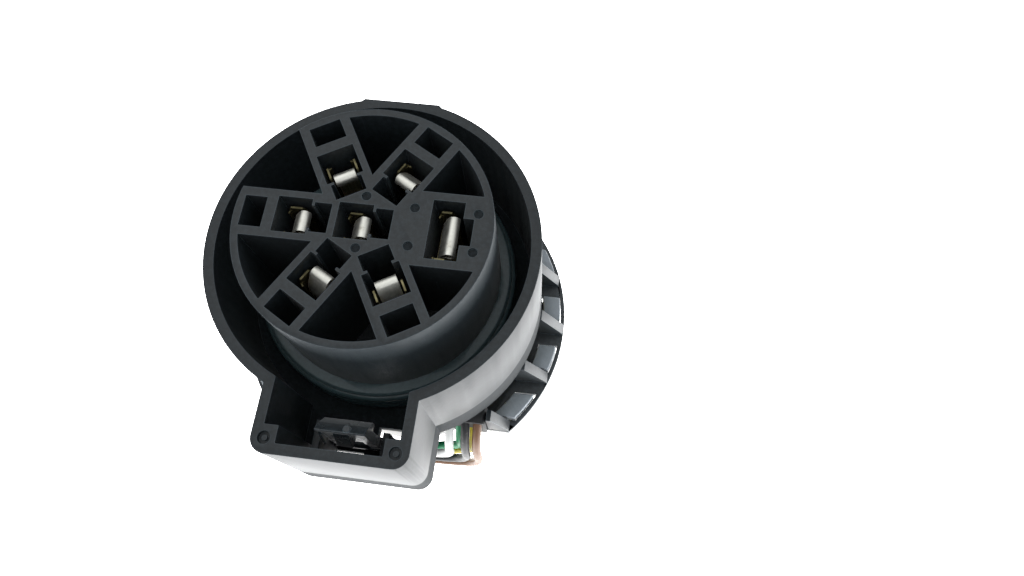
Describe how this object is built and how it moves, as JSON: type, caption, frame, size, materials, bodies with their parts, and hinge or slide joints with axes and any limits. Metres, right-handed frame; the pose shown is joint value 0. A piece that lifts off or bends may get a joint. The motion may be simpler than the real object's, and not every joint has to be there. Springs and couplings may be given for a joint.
{
  "type": "trailer wiring connector",
  "caption": "Round in-line trailer wiring connector with a D-shaped latch tab, spoked blade-socket core, ribbed rear flange, plug barrel and coloured tap leads.",
  "frame": {"origin": "on the mating axis, in the plane of the rear barrel's open end, on which the connector stands", "axes": "+Z along the mating axis, out of the socket face; -Y towards the latch tab; +X towards the wide contact"},
  "size_m": [0.0772, 0.0808, 0.072],
  "materials": {
    "shell_plastic": "satin moulded, fine mould texture",
    "core_plastic": "satin moulded",
    "latch_plastic": "satin moulded",
    "flange_plastic": "satin moulded",
    "barrel_plastic": "satin moulded",
    "carrier_plastic": "satin moulded",
    "lock_ring_plastic": "light grey nylon",
    "cover_plastic": "satin moulded",
    "retainer_plastic": "matt",
    "seal_rubber": "matt silicone",
    "grommet_rubber": "matt",
    "tinned_contact": "bright tin plate",
    "tinned_blade": "bright tin plate",
    "crimp_metal": "tinned brass",
    "jumper_insulation": "extruded",
    "white_insulation": "extruded",
    "green_insulation": "extruded",
    "black_insulation": "extruded",
    "yellow_insulation": "extruded",
    "brown_insulation": "extruded",
    "tie_plastic": "nylon"
  },
  "bodies": {
    "housing": {"outer_shell": "shell_plastic", "socket_core": "core_plastic", "seal_retainer": "retainer_plastic", "ring_seal": "seal_rubber", "mat_seal": "seal_rubber", "seal_cover": "cover_plastic", "centre_receptacle": "tinned_contact", "wide_receptacle": "tinned_contact", "contact_springs": "tinned_contact", "centre_blade": "tinned_blade", "wide_blade": "tinned_blade", "jumper_wires": "jumper_insulation", "splice_sleeves": "crimp_metal", "rear_flange": "flange_plastic", "lock_ring": "lock_ring_plastic", "rear_barrel": "barrel_plastic", "blade_carrier": "carrier_plastic", "lead_grommet": "grommet_rubber", "lead_ties": "tie_plastic", "receptacle_1": "tinned_contact", "blade_1": "tinned_blade", "receptacle_2": "tinned_contact", "blade_2": "tinned_blade", "receptacle_3": "tinned_contact", "blade_3": "tinned_blade", "receptacle_4": "tinned_contact", "blade_4": "tinned_blade", "receptacle_5": "tinned_contact", "blade_5": "tinned_blade", "lead_white": "white_insulation", "lead_green": "green_insulation", "lead_black": "black_insulation", "lead_yellow": "yellow_insulation", "lead_brown": "brown_insulation"},
    "latch": {"latch_arm": "latch_plastic"}
  },
  "joints": [
    {"name": "latch_flex", "type": "hinge", "parent": "housing", "child": "latch", "pos_m": [0, -0.0354, 0.0412], "axis": [1, 0, 0], "range_deg": [0, 6], "stiffness_Nm_per_rad": 0.6}
  ]
}
